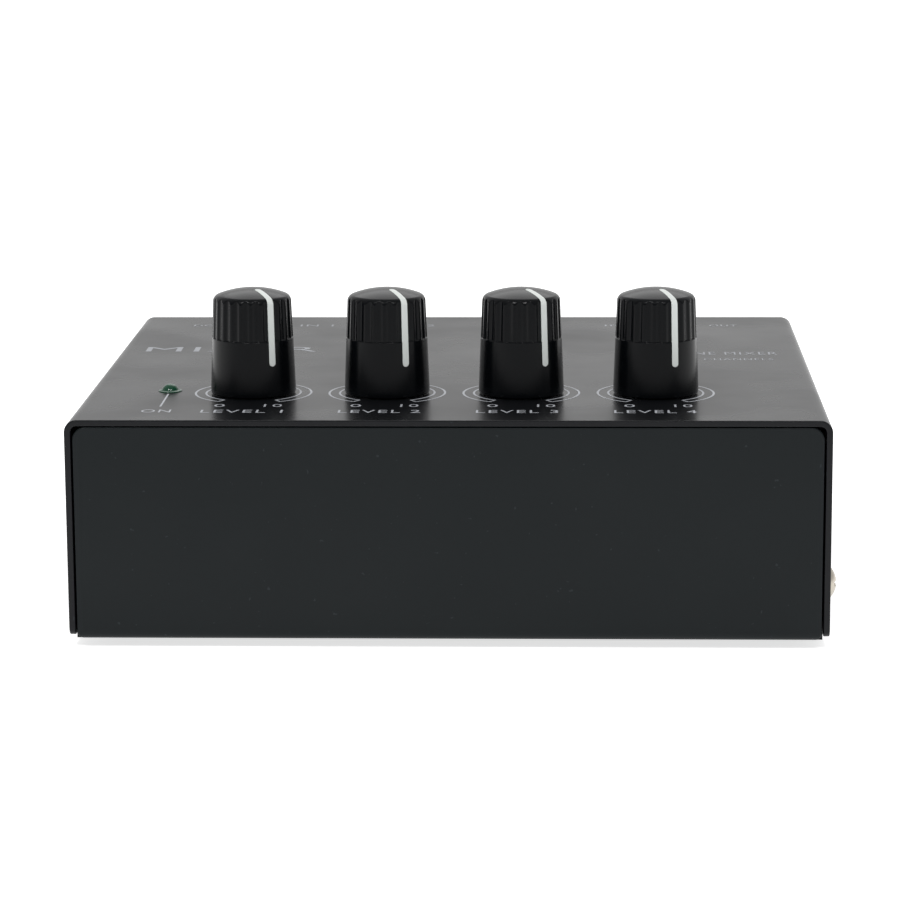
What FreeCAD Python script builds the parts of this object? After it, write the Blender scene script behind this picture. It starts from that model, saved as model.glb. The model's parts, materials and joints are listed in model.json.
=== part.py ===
import FreeCAD, Part
import math
import os
import re
import Sketcher

# A four-channel line mixing console: a folded steel box with four level knobs on top,
# five 6.35 mm jacks and a power inlet at the rear, and one circuit board inside.
#
# Frame: X to the right, Y from the front panel to the rear, Z up. The origin lies on the
# surface that the rubber feet stand on, under the centre of the whole assembly.

# ---------------------------------------------------------------- driving dimensions, mm
SIZES = [
    ("case_width", 120.0, "outside, across the cover"),
    ("case_depth", 102.0, "outside, front panel to rear panel"),
    ("case_height", 35.3, "underside to top, without the feet"),
    ("gauge", 1.0, "steel sheet thickness"),
    ("cover_bend", 2.0, "outer bend radius of the cover"),
    ("floor_bend", 1.2, "outer bend radius of the chassis"),
    ("panel_corner", 2.0, "upper corners of the front and rear panels"),
    ("panel_low_corner", 1.4, "lower corners of the front and rear panels"),
    ("panel_side_gap", 0.3, "between panel side edge and cover"),
    ("panel_top_gap", 0.15, "between panel top edge and cover"),
    ("tab_gap", 0.1, "between chassis tab and cover"),
    ("skirt_lift", 0.5, "cover side ends this far above the underside"),
    ("skirt_corner", 1.5, "lower corners of the cover sides"),
    ("edge_round", 0.2, "deburred and painted sheet edges"),
    ("foot_radius", 4.0, "rubber foot at the case"),
    ("foot_tread_radius", 3.5, "rubber foot on the table"),
    ("foot_height", 1.5, "rubber foot"),
    ("foot_inset", 18.0, "foot centre from the case sides"),
    ("tab_width", 14.0, "chassis tab for a side screw"),
    ("tab_height", 13.0, "chassis tab above the underside"),
    ("side_screw_front", 18.0, "front side screws behind the front panel"),
    ("side_screw_rear", 14.0, "rear side screws ahead of the rear panel"),
    ("side_screw_height", 5.3, "side screws above the underside"),
    ("screw_radius", 1.5, "M3 shank"),
    ("screw_hole", 1.6, "clearance hole for M3"),
    ("tapped_hole", 1.55, "tapped hole for M3, as a plain bore"),
    ("side_head_radius", 3.25, "side screw head"),
    ("side_head_height", 2.3, "side screw head"),
    ("side_shank", 5.5, "side screw under the head"),
    ("board_head_radius", 2.75, "board screw head"),
    ("board_head_height", 1.8, "board screw head"),
    ("board_shank", 5.0, "board screw under the head"),
    ("recess_span", 3.4, "cross recess, tip to tip"),
    ("recess_width", 0.8, "cross recess, across one arm"),
    ("recess_depth", 1.2, "cross recess"),
    ("board_width", 112.0, "circuit board, side to side"),
    ("board_depth", 94.0, "circuit board, front to rear"),
    ("board_thickness", 1.6, "circuit board"),
    ("board_front_gap", 5.0, "board edge behind the front panel"),
    ("standoff_height", 6.0, "standoff above the chassis floor"),
    ("standoff_radius", 2.9, "hexagon, centre to corner"),
    ("spigot_radius", 2.1, "standoff spigot in the floor"),
    ("spigot_hole", 2.15, "floor hole for the spigot"),
    ("standoff_inset", 6.0, "standoff centre from the board edges"),
    ("standoff_rear_inset", 32.0, "rear standoffs ahead of the board's rear edge"),
    ("knob_pitch", 21.8, "between knob axes"),
    ("knob_shift", 0.35, "row of knobs, right of the case's middle"),
    ("knob_setback", 24.0, "knob axes behind the front panel"),
    ("knob_gap", 0.2, "knob above the cover"),
    ("knob_base_radius", 6.9, "knob at its lower edge"),
    ("knob_base_band", 1.0, "top of the straight lower band"),
    ("knob_shoulder_radius", 6.35, "knob at its shoulder"),
    ("knob_shoulder_height", 15.15, "top of the tapered side"),
    ("knob_edge", 1.2, "rounding between side and dome"),
    ("knob_rim_radius", 5.58, "dome at its rim, where it meets the rounding"),
    ("knob_dome_rim", 16.27, "height of the dome at its rim"),
    ("knob_dome_top", 17.3, "height of the dome in the middle"),
    ("knob_hub_radius", 4.2, "hub around the shaft"),
    ("knob_wall_inner", 5.5, "inside of the outer wall"),
    ("knob_hollow_top", 8.0, "top of the hollow under the knob"),
    ("knob_hub_gap", 0.6, "hub above the cover"),
    ("flute_count", 24, "finger flutes round the knob"),
    ("flute_radius", 0.75, "round cutter of one flute"),
    ("flute_depth", 0.22, "depth of a flute"),
    ("flute_start", 9.2, "lower ends of the flutes"),
    ("pointer_width", 1.05, "white insert"),
    ("pointer_depth", 0.6, "insert under the knob surface"),
    ("pointer_proud", 0.04, "insert above the knob surface"),
    ("pointer_inner", 1.6, "inner end, from the knob axis"),
    ("pointer_low", 5.3, "lower end above the cover"),
    ("pointer_1", 33.0, "degrees from the front towards the right"),
    ("pointer_2", 30.0, "degrees from the front towards the right"),
    ("pointer_3", 36.0, "degrees from the front towards the right"),
    ("pointer_4", 26.0, "degrees from the front towards the right"),
    ("shaft_radius", 3.0, "control shaft"),
    ("shaft_length", 30.0, "shaft above the control body"),
    ("shaft_flat", 1.5, "flat of the shaft, from its axis"),
    ("flat_length", 11.0, "length of the flat"),
    ("shaft_fit", 0.03, "clearance of knob and body round the shaft"),
    ("shaft_hole", 4.0, "hole in the cover for a shaft"),
    ("pot_width", 9.8, "control body, side to side"),
    ("pot_depth", 11.0, "control body, front to rear"),
    ("pot_height", 6.8, "control body"),
    ("pot_cavity_radius", 4.3, "inside of the control body"),
    ("pot_cavity_floor", 1.6, "inside floor of the control body"),
    ("pot_cavity_roof", 4.9, "inside roof of the control body"),
    ("rotor_radius", 4.1, "flange of the shaft"),
    ("rotor_floor", 3.4, "underside of the flange"),
    ("rotor_roof", 4.8, "top of the flange"),
    ("pivot_radius", 1.0, "lower pivot of the shaft"),
    ("pivot_floor", 0.8, "lower end of the pivot"),
    ("track_inner", 2.2, "resistance track"),
    ("track_outer", 3.9, "resistance track"),
    ("track_thickness", 0.2, "resistance track"),
    ("wiper_thickness", 0.3, "wiper ring"),
    ("wiper_outer", 3.7, "wiper ring"),
    ("wiper_finger", 0.4, "radius of a contact point"),
    ("wiper_lift", 0.05, "contact point above the track"),
    ("pin_half", 0.3, "half the side of a square terminal pin"),
    ("pin_length", 3.2, "terminal pin below the board's top"),
    ("pin_hole", 0.6, "board hole for a terminal pin"),
    ("spring_hole", 1.35, "board hole for the leg of a spring"),
    ("pot_pin_pitch", 2.5, "terminals of one control"),
    ("jack_pitch", 18.5, "between jack axes"),
    ("jack_first", -27.0, "first jack, from the centre line"),
    ("jack_axis", 7.0, "jack axis above the board"),
    ("jack_width", 15.4, "jack housing"),
    ("jack_height", 14.0, "jack housing"),
    ("jack_length", 29.0, "jack housing behind the rear panel"),
    ("jack_bore", 3.25, "radius of the hole for a 6.35 mm plug"),
    ("jack_bore_length", 32.0, "depth of the hole for the plug"),
    ("nose_radius", 4.5, "threaded nose, as a plain cylinder"),
    ("nose_hole", 4.75, "hole in the rear panel"),
    ("nose_reach", 3.2, "nose beyond the rear panel"),
    ("nut_radius", 6.35, "hexagon, centre to corner"),
    ("nut_thickness", 2.0, "jack nut"),
    ("nut_fit", 0.05, "clearance of the nut round the nose"),
    ("contact_gap", 0.15, "spring outside the plug's hole"),
    ("contact_thickness", 0.4, "spring sheet"),
    ("contact_half", 1.2, "half width of a spring"),
    ("slot_half", 1.5, "half width of a spring's slot"),
    ("tip_slot_length", 10.0, "slot of the tip spring, from the rear end"),
    ("sleeve_slot_near", 6.0, "slot of the sleeve spring, from the panel"),
    ("sleeve_slot_far", 16.0, "slot of the sleeve spring, from the panel"),
    ("inlet_x", -46.0, "power inlet, from the centre line"),
    ("inlet_width", 9.0, "inlet body"),
    ("inlet_length", 14.0, "inlet body"),
    ("inlet_height", 11.0, "inlet body"),
    ("inlet_axis", 6.5, "inlet axis above the board"),
    ("inlet_nose", 3.9, "round nose in the panel"),
    ("inlet_hole", 4.05, "hole in the rear panel"),
    ("inlet_bore", 3.1, "hole for the power plug"),
    ("inlet_bore_length", 10.0, "hole for the power plug, from the panel face"),
    ("inlet_slot_near", 2.0, "slot of the side spring, from the panel"),
    ("inlet_slot_far", 7.5, "slot of the side spring, from the panel"),
    ("inlet_pin", 1.0, "centre pin"),
    ("lamp_x", -46.15, "lamp, from the centre line"),
    ("lamp_setback", 25.5, "lamp behind the front panel"),
    ("lamp_radius", 1.5, "lamp dome"),
    ("lamp_proud", 1.2, "lamp above the cover"),
    ("lamp_height", 2.3, "low lamp, underside to top"),
    ("lamp_flange", 1.9, "lamp flange"),
    ("lamp_flange_height", 1.25, "lamp flange, which fills the hole in the cover"),
    ("lamp_hole", 1.95, "hole in the cover"),
    ("lead_half", 0.25, "half the side of a lamp lead"),
    ("lead_offset", 1.27, "lamp lead from the lamp axis"),
    ("spacer_radius", 2.4, "tube that holds the lamp up"),
    ("spacer_bore", 1.75, "inside of that tube"),
]

# Places that many pieces share, as formulas of the sheet.
FRONT = "(-(case_depth + nose_reach) / 2)"
REAR = f"({FRONT} + case_depth)"
UNDER = "foot_height"
FLOOR = "(foot_height + gauge)"
TOP = "(foot_height + case_height)"
PANEL_TOP = "(foot_height + case_height - gauge - panel_top_gap)"
BOARD = "(foot_height + gauge + standoff_height)"
DECK = f"({BOARD} + board_thickness)"
KNOB_Y = f"({FRONT} + knob_setback)"
LAMP_Y = f"({FRONT} + lamp_setback)"
LAMP_FOOT = f"({TOP} + lamp_proud - lamp_height)"
PANEL_INSIDE = f"({REAR} - gauge)"
JACK_Z = f"({DECK} + jack_axis)"
INLET_Z = f"({DECK} + inlet_axis)"
SIDE_SCREW_Z = "(foot_height + side_screw_height)"
BOARD_Y = f"({FRONT} + board_front_gap)"
CHANNELS = (1, 2, 3, 4)
JACKS = (1, 2, 3, 4, 5)

doc = FreeCAD.newDocument("mixing_console")
sheet = doc.addObject("Spreadsheet::Sheet", "Sizes")
for row, (alias, number, note) in enumerate(SIZES, start=1):
    sheet.set(f"A{row}", alias)
    sheet.set(f"B{row}", str(number))
    sheet.set(f"C{row}", note)
    sheet.setAlias(f"B{row}", alias)
doc.recompute()

nodes = []


# ---------------------------------------------------------------- ways of working
def formula(text):
    """The same formula with every name pointing at the sheet."""
    return re.sub(r"\b([a-z]\w*)\b(?!\()", r"Sizes.\1", str(text))


def value(text):
    """The number that a formula has now."""
    return float(sheet.evalExpression(str(text)))


def bind(thing, **properties):
    """Ties properties of a document object to formulas of the sheet."""
    for name, text in properties.items():
        thing.setExpression(name, formula(text))
    return thing


def place(thing, x=0, y=0, z=0, axis=(0, 0, 1), turn=0):
    """Turns a document object about an axis and ties its position to formulas."""
    rotation = FreeCAD.Rotation(FreeCAD.Vector(*axis), turn)
    thing.Placement = FreeCAD.Placement(FreeCAD.Vector(0, 0, 0), rotation)
    for letter, text in zip("xyz", (x, y, z)):
        thing.setExpression(f"Placement.Base.{letter}", formula(text))
    return thing


def node(thing, label):
    """Names a finished sub-part."""
    thing.Label = label
    nodes.append(thing)
    return thing


def box(name, size, corner):
    solid = doc.addObject("Part::Box", name)
    bind(solid, Length=size[0], Width=size[1], Height=size[2])
    return place(solid, *corner)


def rod(name, radius, length, base, axis=(0, 0, 1), turn=0):
    """A cylinder that stands on its base point, along Z before it is turned."""
    solid = doc.addObject("Part::Cylinder", name)
    bind(solid, Radius=radius, Height=length)
    return place(solid, *base, axis, turn)


def cut(name, base, *tools):
    """The base with each tool taken away."""
    for count, tool in enumerate(tools):
        piece = doc.addObject("Part::Cut", f"{name}_cut_{count}")
        piece.Base = base
        piece.Tool = tool
        base = piece
    return base


def fuse(name, *solids):
    piece = doc.addObject("Part::MultiFuse", f"{name}_fused")
    piece.Shapes = list(solids)
    return piece


def group(name, solids):
    """Separate solids that share one node."""
    piece = doc.addObject("Part::Compound", f"{name}_group")
    piece.Links = list(solids)
    return piece


def new_body(name):
    return doc.addObject("PartDesign::Body", name)


def new_sketch(body, name, role, shift="0"):
    """A sketch on one of the body's own origin planes, moved along its normal."""
    sketch = body.newObject("Sketcher::SketchObject", name)
    plane = [item for item in body.Origin.OriginFeatures if item.Role == role][0]
    sketch.AttachmentSupport = [(plane, "")]
    sketch.MapMode = "FlatFace"
    sketch.setExpression("AttachmentOffset.Base.z", formula(shift))
    return sketch


def pin_point(sketch, geometry, position, x, y):
    """Holds a point of the sketch at a place given by two formulas."""
    for kind, text in (("DistanceX", x), ("DistanceY", y)):
        constraint = Sketcher.Constraint(kind, -1, 1, geometry, position, value(text))
        index = sketch.addConstraint(constraint)
        sketch.setExpression(f"Constraints[{index}]", formula(text))


def arc_between(start, end, radius, side):
    """The shorter arc from start to end; side 1 turns anticlockwise, -1 clockwise."""
    chord = end - start
    middle = (start + end) * 0.5
    across = FreeCAD.Vector(-chord.y, chord.x, 0).normalize()
    rise = math.sqrt(max(radius ** 2 - (chord.Length / 2) ** 2, 0.0))
    centre = middle + across * (rise * side)
    angles = [math.atan2(point.y - centre.y, point.x - centre.x) for point in (start, end)]
    if side < 0:
        angles.reverse()
    circle = Part.Circle(centre, FreeCAD.Vector(0, 0, 1), radius)
    return Part.ArcOfCircle(circle, angles[0], angles[1])


def outline(sketch, corners):
    """Closed outline. A corner is (x, y), or (x, y, radius, side) when an arc leaves it."""
    points = [FreeCAD.Vector(value(corner[0]), value(corner[1]), 0) for corner in corners]
    ends = []
    for count, corner in enumerate(corners):
        start = points[count]
        end = points[(count + 1) % len(corners)]
        if len(corner) == 2:
            index = sketch.addGeometry(Part.LineSegment(start, end))
            ends.append((index, 1, 2))
        else:
            arc = arc_between(start, end, value(corner[2]), corner[3])
            index = sketch.addGeometry(arc)
            ends.append((index, 1, 2) if corner[3] > 0 else (index, 2, 1))
    for count, corner in enumerate(corners):
        index, first, last = ends[count]
        following, entry, _ = ends[(count + 1) % len(corners)]
        sketch.addConstraint(Sketcher.Constraint("Coincident", index, last, following, entry))
        pin_point(sketch, index, first, corner[0], corner[1])
    for count, corner in enumerate(corners):
        if len(corner) == 4:
            radius = Sketcher.Constraint("Radius", ends[count][0], value(corner[2]))
            index = sketch.addConstraint(radius)
            sketch.setExpression(f"Constraints[{index}]", formula(corner[2]))
    return sketch


def circles(sketch, holes):
    """Circles, each (x, y, radius)."""
    for x, y, radius in holes:
        centre = FreeCAD.Vector(value(x), value(y), 0)
        circle = Part.Circle(centre, FreeCAD.Vector(0, 0, 1), value(radius))
        index = sketch.addGeometry(circle)
        pin_point(sketch, index, 3, x, y)
        constraint = sketch.addConstraint(Sketcher.Constraint("Radius", index, value(radius)))
        sketch.setExpression(f"Constraints[{constraint}]", formula(radius))
    return sketch


def rectangle(x0, x1, y0, y1):
    return [(x0, y0), (x1, y0), (x1, y1), (x0, y1)]


def feature(body, kind, sketch, length, both_ways=False, reverse=False):
    """A Pad or Pocket of a sketch; a Pocket must really take material away."""
    before = 0.0 if body.Tip is None else body.Shape.Volume
    item = body.newObject(f"PartDesign::{kind}", f"{sketch.Name}_{kind}")
    item.Profile = sketch
    item.Midplane = both_ways
    item.Reversed = reverse
    bind(item, Length=length)
    doc.recompute()
    if kind == "Pocket" and body.Shape.Volume > before - 1e-3:
        raise RuntimeError(f"{item.Name} cuts nothing")
    return item


def fillet(body, name, radius, wanted):
    """Rounds the edges of the body's tip for which wanted(edge) is true."""
    tip = body.Tip
    chosen = [f"Edge{count}" for count, edge in enumerate(tip.Shape.Edges, start=1)
              if wanted(edge)]
    item = body.newObject("PartDesign::Fillet", name)
    item.Base = (tip, chosen)
    bind(item, Radius=radius)
    doc.recompute()
    return item


def near(edge, **wanted):
    """True where every point of the edge has the given coordinates."""
    points = [edge.valueAt(edge.FirstParameter), edge.valueAt(edge.LastParameter)]
    points.append(edge.CenterOfMass)
    return all(abs(getattr(point, letter) - place_) < 1e-4
               for letter, place_ in wanted.items() for point in points)


# ---------------------------------------------------------------- the steel box
def pot_x(channel):
    return f"({channel - 2.5} * knob_pitch + knob_shift)"


def jack_x(number):
    return f"(jack_first + {number - 1} * jack_pitch)"


def screw_places():
    """Y of the front and the rear side screws."""
    return [f"({FRONT} + side_screw_front)", f"({REAR} - side_screw_rear)"]


def make_cover():
    """Top and two sides, bent from one sheet, with holes for shafts, lamp and screws."""
    body = new_body("top_cover")
    half = "case_width / 2"
    inner = "(case_width / 2 - gauge)"
    skirt = "(foot_height + skirt_lift)"
    roof = f"({TOP} - gauge)"
    sketch = new_sketch(body, "cover_section", "XZ_Plane", f"-{FRONT}")
    outline(sketch, [(f"-{half}", skirt), (f"-{half}", TOP), (half, TOP), (half, skirt),
                     (inner, skirt), (inner, roof), (f"-{inner}", roof), (f"-{inner}", skirt)])
    feature(body, "Pad", sketch, "case_depth", reverse=True)
    side, top, low = value(half), value(TOP), value(skirt)
    fillet(body, "cover_outer_bend", "cover_bend",
           lambda edge: near(edge, z=top) and abs(abs(edge.CenterOfMass.x) - side) < 1e-4)
    fillet(body, "cover_inner_bend", "cover_bend - gauge",
           lambda edge: near(edge, z=value(roof))
           and abs(abs(edge.CenterOfMass.x) - value(inner)) < 1e-4)
    front, rear = value(FRONT), value(REAR)
    fillet(body, "skirt_corners", "skirt_corner",
           lambda edge: near(edge, z=low) and (near(edge, y=front) or near(edge, y=rear)))
    sketch = new_sketch(body, "cover_holes", "XY_Plane", f"{TOP} + gauge")
    holes = [(pot_x(channel), KNOB_Y, "shaft_hole") for channel in CHANNELS]
    circles(sketch, holes + [("lamp_x", LAMP_Y, "lamp_hole")])
    feature(body, "Pocket", sketch, "3 * gauge")
    sketch = new_sketch(body, "side_holes", "YZ_Plane")
    circles(sketch, [(y, SIDE_SCREW_Z, "screw_hole") for y in screw_places()])
    feature(body, "Pocket", sketch, "2 * case_width", both_ways=True)
    fillet(body, "cover_edges", "edge_round",
           lambda edge: near(edge, y=front) or near(edge, y=rear))
    return node(body, "top_cover")


def make_chassis():
    """Front panel, floor and rear panel, bent from one sheet, with four screw tabs."""
    body = new_body("chassis")
    tab = "(case_width / 2 - gauge - tab_gap)"
    panel = "(case_width / 2 - gauge - panel_side_gap)"
    sketch = new_sketch(body, "chassis_section", "YZ_Plane")
    blank_top = f"({PANEL_TOP} + gauge)"
    outline(sketch, [(FRONT, UNDER), (FRONT, blank_top), (f"{FRONT} + gauge", blank_top),
                     (f"{FRONT} + gauge", FLOOR), (PANEL_INSIDE, FLOOR),
                     (PANEL_INSIDE, blank_top), (REAR, blank_top), (REAR, UNDER)])
    feature(body, "Pad", sketch, f"2 * {tab}", both_ways=True)
    front, rear, under, floor = value(FRONT), value(REAR), value(UNDER), value(FLOOR)
    inside = [front + value("gauge"), rear - value("gauge")]
    fillet(body, "floor_outer_bend", "floor_bend",
           lambda edge: near(edge, z=under) and (near(edge, y=front) or near(edge, y=rear)))
    fillet(body, "floor_inner_bend", "floor_bend - gauge",
           lambda edge: near(edge, z=floor) and any(near(edge, y=y) for y in inside))
    corner, low = "panel_corner", "panel_low_corner"
    below = f"({UNDER} - edge_round / 2)"
    for name, shift, reverse in (("front", f"-{FRONT}", False), ("rear", f"-{REAR}", True)):
        sketch = new_sketch(body, f"{name}_trim", "XZ_Plane", shift)
        outline(sketch, rectangle("-case_width", "case_width", "-case_height",
                                  "2 * case_height"))
        outline(sketch, [(f"-{panel}", f"{below} + {low}"),
                         (f"-{panel}", f"{PANEL_TOP} - {corner}", corner, -1),
                         (f"-{panel} + {corner}", PANEL_TOP),
                         (f"{panel} - {corner}", PANEL_TOP, corner, -1),
                         (panel, f"{PANEL_TOP} - {corner}"),
                         (panel, f"{below} + {low}", low, -1),
                         (f"{panel} - {low}", below),
                         (f"-{panel} + {low}", below, low, -1)])
        feature(body, "Pocket", sketch, "floor_bend", reverse=reverse)
    for side in (-1, 1):
        sketch = new_sketch(body, f"tabs_{side + 1}", "YZ_Plane", f"{side} * {tab}")
        for y in screw_places():
            outline(sketch, rectangle(f"{y} - tab_width / 2", f"{y} + tab_width / 2",
                                      FLOOR, f"{UNDER} + tab_height"))
            circles(sketch, [(y, SIDE_SCREW_Z, "tapped_hole")])
        feature(body, "Pad", sketch, "gauge", reverse=side > 0)
    sketch = new_sketch(body, "rear_holes", "XZ_Plane", f"-{REAR} - gauge")
    holes = [(jack_x(number), JACK_Z, "nose_hole") for number in JACKS]
    circles(sketch, holes + [("inlet_x", INLET_Z, "inlet_hole")])
    feature(body, "Pocket", sketch, "3 * gauge", reverse=True)
    sketch = new_sketch(body, "floor_holes", "XY_Plane", f"{FLOOR} + gauge")
    circles(sketch, [(x, y, "spigot_hole") for x, y in standoff_places()])
    feature(body, "Pocket", sketch, "3 * gauge")
    panel_side = value(panel)
    fillet(body, "panel_edges", "edge_round",
           lambda edge: near(edge, y=front) and edge.CenterOfMass.z > under + 3
           and abs(edge.CenterOfMass.x) < panel_side + 0.1)
    return node(body, "chassis")


def standoff_places():
    """Centres of the four standoffs, near the corners of the board."""
    x = "(board_width / 2 - standoff_inset)"
    near_y = f"({BOARD_Y} + standoff_inset)"
    far_y = f"({BOARD_Y} + board_depth - standoff_rear_inset)"
    return [(f"-{x}", near_y), (x, near_y), (f"-{x}", far_y), (x, far_y)]


def make_screw(name, head_radius, head_height, shank):
    """Pan head with a cross recess, standing head up on the plane under its head."""
    body = new_body(name)
    sketch = new_sketch(body, f"{name}_section", "XZ_Plane")
    crown = f"(({head_radius} ^ 2 + ({head_height} * 0.8) ^ 2) / (1.6 * {head_height}))"
    outline(sketch, [("0", f"-{shank}"), ("screw_radius", f"-{shank}"), ("screw_radius", "0"),
                     (head_radius, "0"), (head_radius, f"{head_height} * 0.2", crown, 1),
                     ("0", head_height)])
    turned = body.newObject("PartDesign::Revolution", f"{name}_turned")
    turned.Profile = sketch
    turned.ReferenceAxis = (sketch, ["V_Axis"])
    turned.Angle = 360
    doc.recompute()
    sketch = new_sketch(body, f"{name}_recess", "XY_Plane", f"{head_height} + 1")
    arm, wide = "recess_span / 2", "recess_width / 2"
    outline(sketch, [(f"-{arm}", f"-{wide}"), (f"-{wide}", f"-{wide}"), (f"-{wide}", f"-{arm}"),
                     (wide, f"-{arm}"), (wide, f"-{wide}"), (arm, f"-{wide}"), (arm, wide),
                     (wide, wide), (wide, arm), (f"-{wide}", arm), (f"-{wide}", wide),
                     (f"-{arm}", wide)])
    feature(body, "Pocket", sketch, "recess_depth + 1")
    return body


def make_cover_screws():
    """Four M3 screws through the cover sides into the tabs."""
    screws = []
    for side in (-1, 1):
        for count, y in enumerate(screw_places()):
            name = f"side_screw_{side + 1}_{count}"
            screw = make_screw(name, "side_head_radius", "side_head_height", "side_shank")
            screws.append(place(screw, f"{side} * case_width / 2", y, SIDE_SCREW_Z,
                                (0, 1, 0), 90 * side))
    return node(group("cover_screws", screws), "cover_screws")


def make_feet():
    """Four rubber bumpers under the corners of the floor."""
    x = "(case_width / 2 - foot_inset)"
    corners = [(f"-{x}", f"{FRONT} + foot_inset"), (x, f"{FRONT} + foot_inset"),
               (f"-{x}", f"{REAR} - foot_inset"), (x, f"{REAR} - foot_inset")]
    for label, (foot_x, foot_y) in zip(("front_left", "front_right", "rear_left",
                                        "rear_right"), corners):
        foot = doc.addObject("Part::Cone", f"foot_{label}")
        bind(foot, Radius1="foot_tread_radius", Radius2="foot_radius", Height="foot_height")
        node(place(foot, foot_x, foot_y, "0"), f"foot_{label}")


# ---------------------------------------------------------------- the circuit board
def pin_places():
    """Board holes that terminals pass through, as (x, y)."""
    pins = []
    for channel in CHANNELS:
        for step in (-1, 0, 1):
            pins.append((f"{pot_x(channel)} + {step} * pot_pin_pitch",
                         f"{KNOB_Y} + pot_depth / 2 - 1"))
    return pins


def spring_leg_places():
    """Board holes that the legs of the jack and inlet springs pass through."""
    legs = [("inlet_x", f"{PANEL_INSIDE} - inlet_slot_far + gauge")]
    for number in JACKS:
        legs.append((jack_x(number), f"{PANEL_INSIDE} - jack_length - contact_thickness"))
        legs.append((jack_x(number), f"{PANEL_INSIDE} - sleeve_slot_far + gauge"))
    return legs


def make_board():
    """One glass-fibre board with every hole drilled."""
    body = new_body("main_board")
    half = "board_width / 2"
    sketch = new_sketch(body, "board_outline", "XY_Plane", BOARD)
    outline(sketch, rectangle(f"-{half}", half, BOARD_Y, f"{BOARD_Y} + board_depth"))
    circles(sketch, [(x, y, "screw_hole") for x, y in standoff_places()])
    circles(sketch, [(x, y, "pin_hole") for x, y in pin_places()])
    circles(sketch, [(x, y, "spring_hole") for x, y in spring_leg_places()])
    circles(sketch, [(f"lamp_x + {side} * lead_offset", LAMP_Y, "pin_hole / 1.2")
                     for side in (-1, 1)])
    feature(body, "Pad", sketch, "board_thickness")
    return node(body, "main_board")


def make_standoffs():
    """Hexagonal tapped pillars, pressed into the floor."""
    pillars = []
    for count, (x, y) in enumerate(standoff_places()):
        hexagon = doc.addObject("Part::Prism", f"standoff_hexagon_{count}")
        hexagon.Polygon = 6
        bind(hexagon, Circumradius="standoff_radius", Height="standoff_height")
        place(hexagon, x, y, FLOOR)
        spigot = rod(f"standoff_spigot_{count}", "spigot_radius", "gauge", (x, y, UNDER))
        bore = rod(f"standoff_bore_{count}", "tapped_hole", "standoff_height + 2 * gauge",
                   (x, y, f"{UNDER} - gauge / 2"))
        pillars.append(cut(f"standoff_{count}", fuse(f"standoff_{count}", hexagon, spigot),
                           bore))
    return node(group("board_standoffs", pillars), "board_standoffs")


def make_board_screws():
    screws = []
    for count, (x, y) in enumerate(standoff_places()):
        screw = make_screw(f"board_screw_{count}", "board_head_radius", "board_head_height",
                           "board_shank")
        screws.append(place(screw, x, y, DECK))
    return node(group("board_screws", screws), "board_screws")


# ---------------------------------------------------------------- the four level controls
def dome(r):
    """Height of the knob's domed top above the cover at distance r from the axis."""
    rise = "(knob_dome_top - knob_dome_rim)"
    radius = f"((knob_rim_radius ^ 2 + {rise} ^ 2) / (2 * {rise}))"
    return f"(knob_dome_top - {radius} + sqrt({radius} ^ 2 - ({r}) ^ 2))", radius


def side_radius(height):
    """Radius of the knob's tapered side at a height above the cover."""
    slope = ("((knob_base_radius - knob_shoulder_radius)"
             " / (knob_shoulder_height - knob_base_band))")
    return f"(knob_base_radius - {slope} * ({height} - knob_base_band))"


def control_place(thing, channel):
    """Stands a piece of a control on the cover, its pointer at the full level."""
    turn = value(f"pointer_{channel}") - 90
    return place(thing, pot_x(channel), KNOB_Y, TOP, turn=turn)


def make_pointer(channel):
    """White insert from the middle of the dome, over the shoulder and down the side."""
    body = new_body(f"knob_pointer_{channel}")
    up, down = "pointer_proud", "pointer_depth"
    top, radius = dome("pointer_inner")
    foot = side_radius("pointer_low")
    sketch = new_sketch(body, f"pointer_section_{channel}", "XZ_Plane")
    outline(sketch, [
        ("pointer_inner", f"{top} + {up}", f"{radius} + {up}", -1),
        ("knob_rim_radius", f"knob_dome_rim + {up}", f"knob_edge + {up}", -1),
        (f"knob_shoulder_radius + {up}", "knob_shoulder_height"),
        (f"{foot} + {up}", "pointer_low"),
        (f"{foot} - {down}", "pointer_low"),
        (f"knob_shoulder_radius - {down}", f"knob_dome_rim - {down}"),
        ("pointer_inner", f"{top} - {down}")])
    feature(body, "Pad", sketch, "pointer_width", both_ways=True)
    low, inner = value("pointer_low"), value("pointer_inner")
    fillet(body, f"pointer_ends_{channel}", "pointer_width * 0.48",
           lambda edge: abs(edge.Length - value(f"{up} + {down}")) < 0.02
           and (near(edge, z=low) or near(edge, x=inner)))
    return node(control_place(body, channel), f"knob_pointer_{channel}")


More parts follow.
